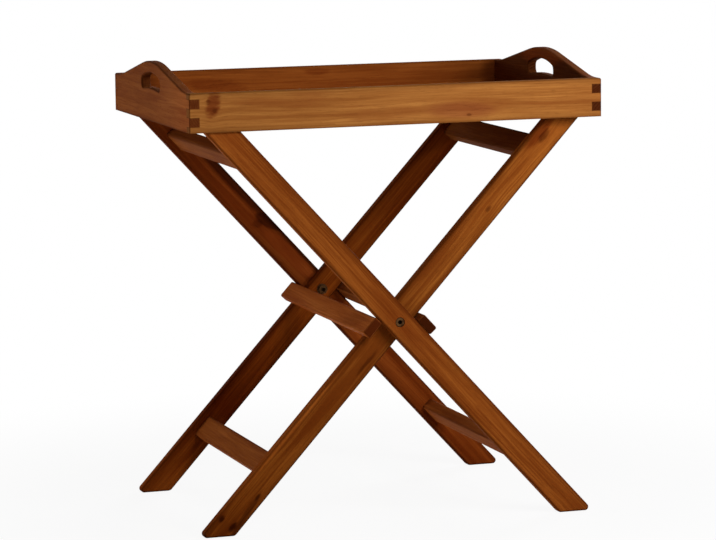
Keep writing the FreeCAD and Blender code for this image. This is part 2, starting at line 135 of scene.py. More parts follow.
class Term:
    """An output of a shader node that takes part in Python sums."""

    def __init__(self, graph, socket):
        self.graph = graph
        self.socket = socket

    def math(self, operation, *others):
        return self.graph.node("ShaderNodeMath", {"operation": operation}, dict(enumerate((self, *others))))

    def __add__(self, other):
        return self.math("ADD", other)

    def __radd__(self, other):
        return self.math("ADD", other)

    def __sub__(self, other):
        return self.math("SUBTRACT", other)

    def __rsub__(self, other):
        return self.graph.node("ShaderNodeMath", {"operation": "SUBTRACT"}, {0: other, 1: self})

    def __mul__(self, other):
        return self.math("MULTIPLY", other)

    def __truediv__(self, other):
        return self.math("DIVIDE", other)

    def __pow__(self, other):
        return self.math("POWER", other)

    def __abs__(self):
        return self.math("ABSOLUTE")


# The sockets of a mix node that hold colours
MIX_FIRST = 6
MIX_SECOND = 7
MIX_RESULT = 2


class Graph:
    """The nodes of a material or a world, added one by one."""

    def __init__(self, owner):
        owner.use_nodes = True
        self.owner = owner
        self.tree = owner.node_tree
        self.tree.nodes.clear()

    def node(self, kind, settings=None, sockets=None, output=0):
        """Adds a node, sets it up, fills its sockets and gives back one of its outputs."""
        made = self.tree.nodes.new(kind)
        for key, value in (settings or {}).items():
            setattr(made, key, value)
        for key, value in (sockets or {}).items():
            if isinstance(value, Term):
                self.tree.links.new(value.socket, made.inputs[key])
            else:
                made.inputs[key].default_value = value
        return Term(self, made.outputs[output]) if made.outputs else None

    def coordinate(self, kind):
        """Where a point of the surface is, or which way it faces, in the piece's own space."""
        return self.node("ShaderNodeTexCoord", None, None, kind)

    def mapping(self, kind, **sockets):
        """A coordinate, turned and moved."""
        return self.node("ShaderNodeMapping", None, {"Vector": self.coordinate(kind), **sockets})

    def split(self, vector):
        return [self.node("ShaderNodeSeparateXYZ", None, {0: vector}, axis) for axis in range(3)]

    def stretched(self, vector, scale):
        return self.node("ShaderNodeVectorMath", {"operation": "MULTIPLY"}, {0: vector, 1: scale})

    def noise(self, vector, scale, seed, detail=2.0, rough=0.5):
        """Noise from 0 to 1 about a half, stretched by the scale along each axis."""
        sockets = {"Vector": self.stretched(vector, scale), "W": seed, "Scale": 1.0, "Detail": detail,
                   "Roughness": rough}
        return self.node("ShaderNodeTexNoise", {"noise_dimensions": "4D"}, sockets)

    def rise(self, value, low, high):
        """0 up to low, 1 from high, and smooth between."""
        return self.node("ShaderNodeMapRange", {"interpolation_type": "SMOOTHSTEP"},
                         {"Value": value, "From Min": low, "From Max": high})

    def fall(self, value, low, high):
        """1 up to low, 0 from high, and smooth between."""
        return 1 - self.rise(value, low, high)

    def mix(self, factor, first, second):
        settings = {"data_type": "RGBA", "clamp_factor": True}
        sockets = {"Factor": factor, MIX_FIRST: first, MIX_SECOND: second}
        return self.node("ShaderNodeMix", settings, sockets, MIX_RESULT)

    def colour_ramp(self, value, stops):
        """A colour by a value from 0 to 1, through stops of a position and a colour each."""
        ramp = self.node("ShaderNodeValToRGB", None, {0: value})
        elements = ramp.socket.node.color_ramp.elements
        while len(elements) < len(stops):
            elements.new(1)
        for element, (position, tone) in zip(elements, stops):
            element.position = position
            element.color = tone
        return ramp

    def bump(self, height, strength, distance):
        sockets = {"Strength": strength, "Distance": distance, "Height": height}
        return self.node("ShaderNodeBump", None, sockets)

    def principled(self, sockets):
        """Ends the graph with a shader and gives back the material."""
        shader = self.node("ShaderNodeBsdfPrincipled", None, sockets)
        self.node("ShaderNodeOutputMaterial", None, {"Surface": shader})
        return self.owner


def material_graph(name):
    return Graph(bpy.data.materials.new(name))


def scaled(shade, factors):
    """A colour times a factor for each of red, green and blue, with its alpha."""
    return (*(min(part * factor, 1) for part, factor in zip(shade, factors)), 1)


# Tints of the wood, and of the painted light and shade on it, as factors on red, green and blue
PALE = (1.26, 1.36, 1.42)
# Painted light
LIT = (2.2, 1.9, 1.7)
# Painted light
PAINTED_LIGHT = (1.9, 1.9, 2.1)
# Painted light, where a painted shadow ends
PETAL = (1.50, 1.55, 1.70)
ROSE = (0.79, 0.64, 0.82)
RED = (0.66, 0.48, 0.46)
DUSK = (0.70, 0.58, 0.52)
# Used among other places for the painted shade in the rear wall's inner corners
DARK = (0.45, 0.38, 0.38)
# Painted shadow
PAINTED_SHADOW = (0.29, 0.25, 0.32)
# Also the colour of the painted shade on edges, corners and undersides
DEEP = (0.20, 0.13, 0.12)

# Powers of a board's lightness for green and blue, which make its darker parts redder, like wood in shade
DARKER_HUE = (1.65, 2.6)
LIGHTER_HUE = (0.8, 0.6)

# Noises in the wood: waves per metre along and across the grain, seed offset, detail and roughness
Layer = namedtuple("Layer", "along across offset detail rough", defaults=(2.0, 0.5))
FLOW = Layer(3.0, 16, 0)
UNEVEN = Layer(1.5, 90, 1)
STREAKS = Layer(4.0, 90, 2, 3.0, 0.6)
FIBRES = Layer(26, 1300, 3, 3.0, 0.6)
PORES = Layer(70, 2600, 4, 1.0)
CLOUDS = Layer(5.0, 30, 5, 3.0, 0.6)
LINES = Layer(9.0, 380, 6, 2.0, 0.6)
RAGGED = Layer(110, 240, 7)

# Between which values of its noise a feature comes or goes
PALE_STREAKS = (0.48, 0.64)
DARK_STREAKS = (0.34, 0.50)
DARK_LINES = (0.38, 0.52)
DARK_FIBRES = (0.50, 0.80)
RED_CLOUDS = (0.50, 0.68)
OPEN_PORES = (0.60, 0.72)

# A noise's mean, how far the grain wanders, how uneven its rings are and how sharply late wood ends
NOISE_MEAN = 0.5
FLOW_SWING = 0.02
RING_SWING = 2.2
LATE_POWER = 3.0

# How fast the bend and the halo of a mark fade with the square of the distance
BULGE_FADE = -0.6

# Between which shares of its normal a surface counts as one face, as the underside that gets painted shade
# and as end grain
ONE_FACE = (0.2, 0.8)
UNDERSIDE = (0.3, 0.9)
END_FACE = (0.75, 0.97)

# The rings' share of the end grain's shade, and their mean
END_RINGS = 0.45
END_RINGS_MEAN = 0.22

# Between which distances from a wall's edge its outline comes, and from a finger joint its line goes
OUTLINE = (-0.0026, -0.0004)
FINGER_GAP = (0.0003, 0.0012)

# What fibres, pores and rings add to the roughness and to the relief of the oiled surface
FIBRE_ROUGHNESS = 0.16
PORE_ROUGHNESS = 0.10
FIBRE_RELIEF = 0.35
PORE_RELIEF = 0.65
RING_RELIEF = 0.2
WOOD_BUMP = 0.16
WOOD_BUMP_DEPTH = 0.0006


# Wood

class Grain:
    """A piece's own axes: along the grain, across the face and through the thickness."""

    def __init__(self, centre, along, across):
        axes = Matrix((along, across, along.cross(across)))
        self.turn = axes.to_euler()
        self.shift = -(axes @ centre)


def middle(node):
    low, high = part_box(node)
    return (low + high) / 2


def half_sizes(node, along, across):
    """Half of a level piece's length along two axes."""
    low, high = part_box(node)
    half = (high - low) / 2
    return half.dot(AXES[along]), half.dot(AXES[across])


def level_grain(node, along, across):
    return Grain(middle(node), AXES[along], AXES[across])


def up_the_legs(node):
    """The direction of the legs of a piece's frame, from the frame's lower rail to its top rail."""
    stand = node.split("_")[0]
    return (middle(f"{stand}_top_rail") - middle(f"{stand}_lower_rail")).normalized()


def leg_grain(node):
    """Grain up a leg from the pivot, and across towards its upper edge."""
    upward = up_the_legs(node)
    centre = Vector((PIVOT.x, middle(node).y, PIVOT.z))
    across = AXES["z"] - upward * upward.z
    return Grain(centre, upward, across.normalized())


def rail_grain(node):
    return Grain(middle(node), AXES["y"], up_the_legs(node))


@dataclass
class TintedPatch:
    """A soft patch on a piece's face, tinted, round which the grain may bend. Most are the wood's figures and
    knots; some are painted light and some painted shade.

    It lies along and across from the middle of the piece's grain. Depth is how strong its tint is, lean is
    its slope, bend is how far the grain goes round it, and ragged is how uneven its rim is. Reach is where
    the middle of its rim lies and soft is the rim's width, both as shares of its half sizes squared. Halo is
    the strength of the red round it. Side is 1 or -1 for a patch on one face of the board only, towards or
    away from its through axis.
    """

    along: float
    across: float
    half_length: float
    half_width: float
    depth: float
    tint: tuple = RED
    lean: float = 0.0
    bend: float = 0.0
    ragged: float = 0.9
    side: int = 0
    soft: float = 1.1
    reach: float = 0.8
    halo: float = 0.0

    def rim(self):
        return self.reach - self.soft / 2, self.reach + self.soft / 2


@dataclass
class Knot(TintedPatch):
    """A small dark knot with a red halo."""

    tint: tuple = DEEP
    bend: float = 0.7
    soft: float = 1.05
    reach: float = 0.575
    halo: float = 0.6


EVEN = ((-0.5, 1.0), (0.5, 1.0))


@dataclass
class Board:
    """What a piece was sawn from: its tone, its rings, its figures and patches of painted light and shade,
    the painted shade of its edges and how dark its ends are.

    The pith lies across and through from the board's middle, and tilt is how fast the board leaves it.
    The drift gives the board's lightness at a few distances along it, and cast is a factor on its tone; on
    some boards both are partly painted light and shade.
    The shoulder is where the face begins to darken with painted shade towards its long edges and where it is
    darkest, and under is the share of that on the lower edge. Edge and end are factors on the painted shade
    of its edges and on the shade of its end grain, and contrast is one on that of its streaks and lines.
    The outline is half the piece's length and half its height, for a thin dark line at its ends and foot.
    Fingers are the middle of the other boards' finger ends, along and across, and their half sizes.
    """

    tone: tuple
    seed: float
    pith: tuple = (0.05, 0.03)
    tilt: float = 0.015
    drift: tuple = EVEN
    marks: tuple = ()
    cast: tuple = (1, 1, 1)
    shoulder: tuple = (0.008, 0.0215)
    edge: float = 1.0
    under: float = 1.0
    end: float = 1.0
    contrast: float = 1.0
    outline: tuple = None
    fingers: tuple = None


class Teak(Graph):
    """Oiled teak of one board: its wood first, then what darkens its faces, edges and ends, much of it
    painted shade, and on some boards painted light.
    """

    def __init__(self, name, grain, board):
        super().__init__(bpy.data.materials.new(name))
        self.wood = bpy.context.scene.tray_table_teak
        self.board = board
        self.place = self.mapping("Object", Rotation=grain.turn, Location=grain.shift)
        self.along, self.across, self.through = self.split(self.place)
        facing = self.split(self.mapping("Normal", Rotation=grain.turn))
        self.facing_end, self.facing_across, self.facing_through = facing
        self.shade = self.drifted_tone()
        self.dusk = self.stretched(self.shade, DUSK)
        self.deep = self.stretched(self.shade, DEEP)
        self.surface = self.shade

    def drifted_tone(self):
        """The board's tone, lighter or darker by the distance along it."""
        tone = scaled(self.board.tone, self.board.cast)
        drift = self.board.drift
        start = drift[0][0]
        span = drift[-1][0] - start
        stops = []
        for distance, light in drift:
            green, blue = DARKER_HUE if light < 1 else LIGHTER_HUE
            stops.append(((distance - start) / span, scaled(tone, (light, light ** green, light ** blue))))
        return self.colour_ramp((self.along - start) / span, stops)

    def layer(self, place, layer):
        """One of the wood's noises, on the board's own seed."""
        scale = (layer.along, layer.across, layer.across)
        return self.noise(place, scale, self.board.seed + layer.offset, layer.detail, layer.rough)

    def paint(self, mask, tone):
        """Lays a tone over the surface as far as the mask goes."""
        self.surface = self.mix(mask, self.surface, tone)

    def read_marks(self):
        """The grain's course across the board, bent round its marks, and each mark's mask with its tint."""
        flow = self.across + (self.layer(self.place, FLOW) - NOISE_MEAN) * FLOW_SWING
        ragged = self.layer(self.place, RAGGED) - NOISE_MEAN
        tints = []
        for mark in self.board.marks:
            run = self.along - mark.along
            lift = self.across - mark.across - run * mark.lean
            x = run / mark.half_length
            y = lift / mark.half_width
            span = x * x + y * y
            bulge = (span * BULGE_FADE).math("EXPONENT")
            if mark.bend:
                flow = flow - lift * bulge * mark.bend
            if mark.halo:
                tints.append((bulge * mark.depth * mark.halo, RED))
            mask = self.fall(span + ragged * mark.ragged, *mark.rim()) * mark.depth
            if mark.side:
                mask = mask * self.rise(self.facing_through * mark.side, *ONE_FACE)
            tints.append((mask, mark.tint))
        return flow, tints

    def late_wood(self, flow):
        """1 at the outer rim of each growth ring about the pith, falling to 0 inwards."""
        pith_across, pith_through = self.board.pith
        across = flow - pith_across
        through = self.through - pith_through
        radius = (across * across + through * through).math("SQRT") + self.along * self.board.tilt
        swing = self.layer(self.place, UNEVEN) * RING_SWING
        return (radius / self.wood.ring_spacing + swing).math("FRACT") ** LATE_POWER

    def paint_grain(self, flow):
        """Streaks, lines, clouds, growth rings, fibres and pores."""
        wood = self.wood
        fibre_place = self.node("ShaderNodeCombineXYZ", None, {0: self.along, 1: flow, 2: self.through})
        streaks = self.layer(fibre_place, STREAKS)
        lines = self.layer(fibre_place, LINES)
        clouds = self.layer(self.place, CLOUDS)
        self.late = self.late_wood(flow)
        self.fibres = self.layer(fibre_place, FIBRES)
        self.pores = self.rise(self.layer(fibre_place, PORES), *OPEN_PORES)
        streak_shade = wood.streak_shade * self.board.contrast
        line_shade = wood.line_shade * self.board.contrast
        self.paint(self.rise(streaks, *PALE_STREAKS) * streak_shade, self.stretched(self.shade, PALE))
        self.paint(self.fall(streaks, *DARK_STREAKS) * streak_shade, self.dusk)
        self.paint(self.fall(lines, *DARK_LINES) * line_shade, self.dusk)
        self.paint(self.rise(clouds, *RED_CLOUDS) * wood.cloud_shade, self.stretched(self.shade, RED))
        self.paint(self.late * wood.ring_shade, self.dusk)
        self.paint(self.rise(self.fibres, *DARK_FIBRES) * wood.fibre_shade, self.dusk)
        self.paint(self.pores * wood.pore_shade, self.deep)

    def paint_shoulders(self):
        """Painted shade: darker long edges of the face, and a darker underside."""
        board = self.board
        high = self.rise(self.across, *board.shoulder)
        low = self.rise(self.across * -1, *board.shoulder) * board.under
        self.paint((high + low) * (self.wood.shoulder_shade * board.edge), self.deep)
        underside = self.rise(self.facing_across * -1, *UNDERSIDE) * board.under
        self.paint(underside * self.wood.under_shade, self.deep)

    def paint_outline(self):
        """A thin dark line at the ends and the foot of a wall."""
        half_length, half_height = self.board.outline
        beyond = (abs(self.along) - half_length).math("MAXIMUM", self.across * -1 - half_height)
        self.paint(self.rise(beyond, *OUTLINE) * self.wood.line_depth, self.deep)

    def rounding(self, facing):
        """1 half way round an edge, and 0 on the flat faces beside it."""
        square = facing * facing
        return square * (1 - square) * 4

    def paint_edges(self):
        """Painted shade on rounded edges and rounded corners, then the darker end grain with its rings."""
        wood = self.wood
        self.paint(self.rounding(self.facing_through) * (wood.edge_shade * self.board.edge), self.deep)
        self.paint(self.rounding(self.facing_end) * wood.corner_shade, self.deep)
        end_grain = self.late * END_RINGS + (wood.end_shade - END_RINGS_MEAN)
        self.paint(self.rise(abs(self.facing_end), *END_FACE) * end_grain * self.board.end, self.deep)

    def paint_fingers(self):
        """Dark lines round the ends of the fingers that come through a wall."""
        far, high, half_far, half_high = self.board.fingers
        beside = abs(abs(self.along) - far) - half_far
        above = abs(abs(self.across) - high) - half_high
        gap = self.fall(abs(beside.math("MAXIMUM", above)), *FINGER_GAP)
        self.paint(gap * self.wood.joint_shade, self.deep)

    def finished(self):
        """The material with every layer laid on."""
        flow, tints = self.read_marks()
        self.paint_grain(flow)
        self.paint_shoulders()
        # Tints of the marks: figures and knots, and on some boards painted light and shade
        for mask, tint in tints:
            self.paint(mask, self.stretched(self.surface, tint))
        if self.board.outline:
            self.paint_outline()
        self.paint_edges()
        if self.board.fingers:
            self.paint_fingers()
        fibre_roughness = (self.fibres - NOISE_MEAN) * FIBRE_ROUGHNESS
        roughness = self.wood.sheen + fibre_roughness + self.pores * PORE_ROUGHNESS
        relief = self.fibres * FIBRE_RELIEF - self.pores * PORE_RELIEF - self.late * RING_RELIEF
        return self.principled({"Base Color": self.surface, "Roughness": roughness,
                                "Normal": self.bump(relief, WOOD_BUMP, WOOD_BUMP_DEPTH),
                                "Specular IOR Level": self.wood.gloss})


def finish(node, material):
    """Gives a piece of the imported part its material."""
    for slot in frame["nodes"][node].material_slots:
        slot.material = material


def finish_teak(node, grain, board):
    finish(node, Teak(f"teak_{node}", grain, board).finished())


# Tray: where faces darken with painted shade, how fast boards leave the pith, the walls' end grain and the
# end panels' fingers
WALL_SHOULDER = (0.017, 0.0305)
WALL_TILT = 0.012
WALL_END = 0.35
END_SHOULDER = (0.038, 0.050)
END_TILT = 0.02
FLOOR_SHOULDER = (0.026, 0.036)
FINGER_MIDDLE = 0.0135
FINGER_HALF = 0.0065

# The floor boards' first seed and its step, and the waves that scatter their lightness and their piths
FLOOR_SEED = 31.0
FLOOR_SEED_STEP = 4.3
LIGHTNESS_SPREAD = 0.16
LIGHTNESS_STEP = 2.4
LIGHTNESS_START = 0.6
PITH_SPREAD = 0.05
PITH_STEP = 1.9
PITH_DEPTH = 0.03
PITH_DEPTH_SPREAD = 0.015


def finger_ends(wall, end):
    """The middle of the fingers' ends on a wall, along and across, and their half sizes."""
    reach, _ = half_sizes(wall, "x", "z")
    thickness, _ = half_sizes(end, "x", "z")
    return reach - thickness, FINGER_MIDDLE, thickness, FINGER_HALF


class TRAYTABLE_OT_walls(bpy.types.Operator):
    """Finish the tray's front and rear walls"""

    bl_idname = "tray_table.walls"
    bl_label = "Finish long walls"

    def execute(self, context):
        wood = context.scene.tray_table_teak
        front_marks = (
            TintedPatch(-0.2885, 0.0117, 0.012, 0.021, 1.0, RED, lean=0.6, bend=0.3, ragged=1.6),
            TintedPatch(-0.2875, 0.0110, 0.009, 0.015, 0.6, RED, lean=0.6, ragged=2.4),
            Knot(-0.296, 0.016, 0.004, 0.005, 0.35),
            Knot(-0.2865, 0.003, 0.004, 0.004, 0.35),
            TintedPatch(0.099, -0.0108, 0.058, 0.0130, 0.74, ROSE, lean=-0.03, bend=0.6, ragged=0.3),
            Knot(0.1104, -0.0181, 0.005, 0.0025, 0.5),
        )
        rear_marks = (
            TintedPatch(-0.165, 0.004, 0.055, 0.011, 0.7, RED, lean=-0.1, bend=0.6),
            TintedPatch(0.005, 0.02, 0.022, 0.006, 0.6, RED),
            # Painted shade in the inner corners at both ends of the rear wall
            TintedPatch(0.32, 0.0, 0.036, 0.06, 1.0, DARK, ragged=0.2, side=1),
            TintedPatch(-0.315, 0.0, 0.066, 0.06, 0.95, DARK, ragged=0.2, side=1),
        )
        shared = {"tilt": WALL_TILT, "shoulder": WALL_SHOULDER, "end": WALL_END,
                  "outline": half_sizes("tray_front_wall", "x", "z"),
                  "fingers": finger_ends("tray_front_wall", "tray_left_end")}
        front = Board(wood.wall_tone, 3.1, pith=(-0.02, 0.034), marks=front_marks, edge=0.7,
                      drift=((-0.33, 1.08), (0.1, 1.08), (0.33, 0.92)), **shared)
        rear = Board(wood.rear_wall_shaded_tone, 11.7, pith=(0.03, -0.04), marks=rear_marks, edge=0.5,
                     drift=((-0.33, 1.12), (0.33, 1.0)), **shared)
        finish_teak("tray_front_wall", level_grain("tray_front_wall", "x", "z"), front)
        finish_teak("tray_rear_wall", level_grain("tray_rear_wall", "x", "z"), rear)
        return {"FINISHED"}


class TRAYTABLE_OT_ends(bpy.types.Operator):
    """Finish the tray's two end panels"""

    bl_idname = "tray_table.ends"
    bl_label = "Finish end panels"

    def execute(self, context):
        tone = context.scene.tray_table_teak.end_tone
        # Painted light on the upper part of the right end's inner face
        crown = TintedPatch(0.0, 0.036, 0.10, 0.018, 1.0, LIT, ragged=0.4, side=-1)
        shared = {"tilt": END_TILT, "shoulder": END_SHOULDER,
                  "outline": half_sizes("tray_left_end", "y", "z")}
        # The left end's drift, lighter towards its front, is painted light
        left = Board(tone, 21.3, pith=(0.02, 0.10), end=0.75,
                     drift=((-0.2, 1.38), (-0.1, 1.12), (0.0, 0.88), (0.2, 0.88)), **shared)
        right = Board(tone, 27.9, pith=(-0.08, 0.06), end=1.2, marks=(crown,), **shared)
        finish_teak("tray_left_end", level_grain("tray_left_end", "y", "z"), left)
        finish_teak("tray_right_end", level_grain("tray_right_end", "y", "z"), right)
        return {"FINISHED"}


class TRAYTABLE_OT_floor(bpy.types.Operator):
    """Finish the boards of the tray's floor"""

    bl_idname = "tray_table.floor"
    bl_label = "Finish floor boards"

    def execute(self, context):
        tone = context.scene.tray_table_teak.floor_tone
        nodes = sorted(node for node in frame["nodes"] if node.startswith("tray_floor_board"))
        for number, node in enumerate(nodes):
            lightness = 1 + LIGHTNESS_SPREAD * math.sin(LIGHTNESS_STEP * number + LIGHTNESS_START)
            across = PITH_SPREAD * math.sin(PITH_STEP * number)
            through = PITH_DEPTH + PITH_DEPTH_SPREAD * math.cos(number)
            board = Board(tone, FLOOR_SEED + FLOOR_SEED_STEP * number, pith=(across, through),
                          cast=(lightness,) * 3, shoulder=FLOOR_SHOULDER, edge=0.6)
            finish_teak(node, level_grain(node, "x", "y"), board)
        return {"FINISHED"}


# Stand: how fast boards leave the pith, and the rails' shoulders of painted shade, end grain, first seed and
# its step
LEG_TILT = 0.014
RAIL_TILT = 0.018
RAIL_PITH = (0.04, 0.03)
RAIL_SHOULDER = (0.008, 0.0205)
RAIL_END = 1.9
RAIL_SEED = 81.0
RAIL_SEED_STEP = 5.7

# A drift that darkens a bar towards the rear
DARKER_REAR = ((-0.2, 1.06), (0.05, 0.98), (0.2, 0.80))


class TRAYTABLE_OT_legs(bpy.types.Operator):
    """Finish the four legs of the stand"""

    bl_idname = "tray_table.legs"
    bl_label = "Finish legs"

    def execute(self, context):
        tone = context.scene.tray_table_teak.leg_tone
        inner_front_marks = (
            TintedPatch(0.36, 0.0135, 0.034, 0.010, 0.9),
            Knot(0.362, 0.0048, 0.016, 0.0070, 0.62),
            Knot(0.2211, -0.0014, 0.007, 0.0042, 0.5),
            TintedPatch(0.20, 0.004, 0.07, 0.005, 0.5, PALE),
            Knot(-0.0774, -0.0072, 0.030, 0.004, 0.5),
            Knot(-0.3969, 0.0145, 0.007, 0.005, 0.85),
            Knot(-0.3964, -0.0079, 0.012, 0.005, 0.9),
            Knot(-0.338, -0.0082, 0.008, 0.003, 0.6),
            TintedPatch(-0.37, -0.0115, 0.045, 0.0048, 0.9, DARK, lean=0.1, ragged=0.6),
            # Painted light along the upper edge of the leg's lower half
            TintedPatch(-0.24, 0.0225, 0.20, 0.0085, 1.0, PAINTED_LIGHT, ragged=0.1),
        )
        outer_rear_marks = (
            # Painted shadow along the upper edge of the leg's upper part, and its hooked end
            TintedPatch(0.25, 0.0235, 0.16, 0.0185, 0.95, PAINTED_SHADOW, ragged=0.2, soft=0.8),
            TintedPatch(0.134, 0.0175, 0.030, 0.0135, 0.8, PAINTED_SHADOW, lean=-0.35, ragged=0.1, soft=0.5),
            TintedPatch(0.148, -0.0010, 0.008, 0.0085, 0.6, DARK, lean=-0.3, ragged=0.1, soft=1.0),
            # Painted shade along the upper edge down towards the pivot
            TintedPatch(0.06, 0.0200, 0.085, 0.0065, 0.8, PAINTED_SHADOW, ragged=0.1, soft=0.8),
            # Painted light where the painted shadow ends, its rim curved like a knot's figure
            TintedPatch(0.072, 0.0030, 0.070, 0.0125, 0.85, PETAL, lean=-0.05, bend=0.4, ragged=0.1, soft=0.6),
        )
        boards = {
            # The inner front leg's drift, darker towards its foot, is partly the wood's own tone and partly
            # painted shade
            "inner_leg_front": Board(tone, 51.4, pith=(0.035, 0.02), tilt=LEG_TILT, contrast=1.7,
                                     marks=inner_front_marks,
                                     drift=((-0.43, 0.66), (-0.12, 0.90), (0.05, 1.06), (0.43, 1.16))),
            # The inner rear leg's redder cast is painted shade, and its drift darkens its top under the tray
            # as painted shadow
            "inner_leg_rear": Board(tone, 57.2, pith=(-0.04, 0.03), tilt=LEG_TILT, contrast=1.4,
                                    cast=(1, 0.84, 0.72),
                                    drift=((-0.43, 1.20), (-0.25, 0.40), (0.1, 0.92), (0.43, 0.33))),
            "outer_leg_front": Board(tone, 63.8, pith=(0.05, -0.04), tilt=LEG_TILT, contrast=1.6,
                                     cast=(1.10, 1.02, 1.1), under=0.3,
                                     drift=((-0.43, 0.90), (0.18, 0.90), (0.43, 1.12))),
            # The outer rear leg's redder cast is painted shade
            "outer_leg_rear": Board(tone, 69.5, pith=(-0.03, 0.025), tilt=LEG_TILT, contrast=1.4,
                                    cast=(1, 0.78, 0.90), marks=outer_rear_marks,
                                    drift=((-0.43, 0.77), (0.08, 0.98), (0.22, 1.30), (0.43, 0.86))),
        }
        for node, board in boards.items():
            finish_teak(node, leg_grain(node), board)
        return {"FINISHED"}


class TRAYTABLE_OT_rails(bpy.types.Operator):
    """Finish the rails and stop bars that tie the legs together"""

    bl_idname = "tray_table.rails"
    bl_label = "Finish rails and stop bars"

    def execute(self, context):
        wood = context.scene.tray_table_teak
        # Each piece's lightness is painted light and shade: darker for the pieces in shade, lighter for the
        # lower rails
        pieces = {"inner_top_rail": (wood.rail_tone, 0.53, EVEN),
                  "inner_lower_rail": (wood.rail_tone, 1.22, EVEN),
                  "inner_stop_bar": (wood.bar_tone, 1.05, DARKER_REAR),
                  "outer_top_rail": (wood.rail_tone, 0.82, EVEN),
                  "outer_lower_rail": (wood.rail_tone, 1.25, EVEN),
                  "outer_stop_bar": (wood.bar_tone, 0.66, EVEN)}
        for number, (node, (tone, lightness, drift)) in enumerate(pieces.items()):
            board = Board(tone, RAIL_SEED + RAIL_SEED_STEP * number, RAIL_PITH, RAIL_TILT, drift=drift,
                          cast=(lightness,) * 3, shoulder=RAIL_SHOULDER, edge=0.8, under=0.0, end=RAIL_END)
            finish_teak(node, rail_grain(node), board)
        return {"FINISHED"}


# Dowels: waves per metre of flecks and clouds, where flecks show, their tints, shades and roughness
BEECH_FLECKS = (900, 900, 900)
BEECH_CLOUDS = (40, 40, 40)
FLECKS_SHOW = (0.55, 0.75)
FLECK_TINT = (0.7, 0.6, 0.5)
FLECK_SHADE = 0.5
CLOUD_TINT = (0.85, 0.8, 0.75)
CLOUD_SHADE = 0.4
CLOUD_ROUGHNESS = 0.2
BEECH_ROUGHNESS = 0.55

# Pivots: waves per metre of patches and scratches, where they show, their roughness and their relief
STEEL_PATCHES = (260, 260, 260)
STEEL_SCRATCHES = (900, 5200, 900)
PATCHES_SHOW = (0.38, 0.66)
SCRATCHES_SHOW = (0.55, 0.70)
PATCH_ROUGHNESS = 0.22
SCRATCH_ROUGHNESS = 0.12
PATCH_RELIEF = -0.6
STEEL_BUMP = 0.2
STEEL_BUMP_DEPTH = 0.0002

# The rim of the painted shade in a bolt's socket as shares of its radius, and the hardware's first seed and
# its step
SOCKET_RIM = (0.8, 1.15)
STEEL_SEED = 141.0
STEEL_SEED_STEP = 3.7


def beech(name, seed):
    """Plain beech of the hidden dowels, with its short flecks."""
    shade = tuple(bpy.context.scene.tray_table_hardware.beech)
    graph = material_graph(name)
    place = graph.coordinate("Object")
    fleck = graph.rise(graph.noise(place, BEECH_FLECKS, seed), *FLECKS_SHOW)
    cloud = graph.noise(place, BEECH_CLOUDS, seed + 1)
    surface = graph.mix(fleck * FLECK_SHADE, (*shade, 1), scaled(shade, FLECK_TINT))
    surface = graph.mix(cloud * CLOUD_SHADE, surface, scaled(shade, CLOUD_TINT))
    roughness = cloud * CLOUD_ROUGHNESS + BEECH_ROUGHNESS
    return graph.principled({"Base Color": surface, "Roughness": roughness})


def steel(name, seed, socket_radius):
    """Zinc-plated steel gone dull, with fine scratches, and painted shade within a socket about the pivot's
    axis.
    """
    metal = bpy.context.scene.tray_table_hardware
    graph = material_graph(name)
    place = graph.coordinate("Object")
    patches = graph.rise(graph.noise(place, STEEL_PATCHES, seed, detail=3.0, rough=0.6), *PATCHES_SHOW)
    scratches = graph.rise(graph.noise(place, STEEL_SCRATCHES, seed + 1), *SCRATCHES_SHOW)
    surface = graph.mix(patches, (*metal.steel, 1), (*metal.tarnish, 1))
    if socket_radius:
        # Painted shade within the bolts' sockets
        beside, _, above = graph.split(graph.mapping("Object", Location=-PIVOT))
        from_axis = (beside * beside + above * above).math("SQRT")
        socket = graph.fall(from_axis, *(part * socket_radius for part in SOCKET_RIM))
        surface = graph.mix(socket, surface, (*metal.socket_shade, 1))
    roughness = metal.roughness + patches * PATCH_ROUGHNESS + scratches * SCRATCH_ROUGHNESS
    bump = graph.bump(patches * PATCH_RELIEF - scratches, STEEL_BUMP, STEEL_BUMP_DEPTH)
    return graph.principled({"Base Color": surface, "Roughness": roughness, "Metallic": 1.0, "Normal": bump})


class TRAYTABLE_OT_dowels(bpy.types.Operator):
    """Finish the hidden dowels of the stop bars"""

    bl_idname = "tray_table.dowels"
    bl_label = "Finish dowels"

    def execute(self, context):
        for node, seed in (("inner_bar_dowels", 121.0), ("outer_bar_dowels", 127.0)):
            finish(node, beech(f"beech_{node}", seed))
        return {"FINISHED"}


class TRAYTABLE_OT_pivots(bpy.types.Operator):
    """Finish the bolts, spacers, washers and nuts of the two pivots"""

    bl_idname = "tray_table.pivots"
    bl_label = "Finish pivots"

    def execute(self, context):
        sockets = {"pivot_bolts": context.scene.tray_table_hardware.socket_radius}
        for number, node in enumerate(("pivot_bolts", "pivot_spacers", "pivot_washers", "pivot_nuts")):
            seed = STEEL_SEED + STEEL_SEED_STEP * number
            finish(node, steel(f"steel_{node}", seed, sockets.get(node, 0)))
        return {"FINISHED"}


# Stage: the camera's sensor and focal length, and the floor's size and fade as shares of its radius
IMAGE_WIDTH_PIXELS = 716
FOCAL_LENGTH_PIXELS = 3399.5
SENSOR_WIDTH = 36.0
FLOOR_REACH = 6
FLOOR_FADE_START = 0.35
FLOOR_SIDES = 96

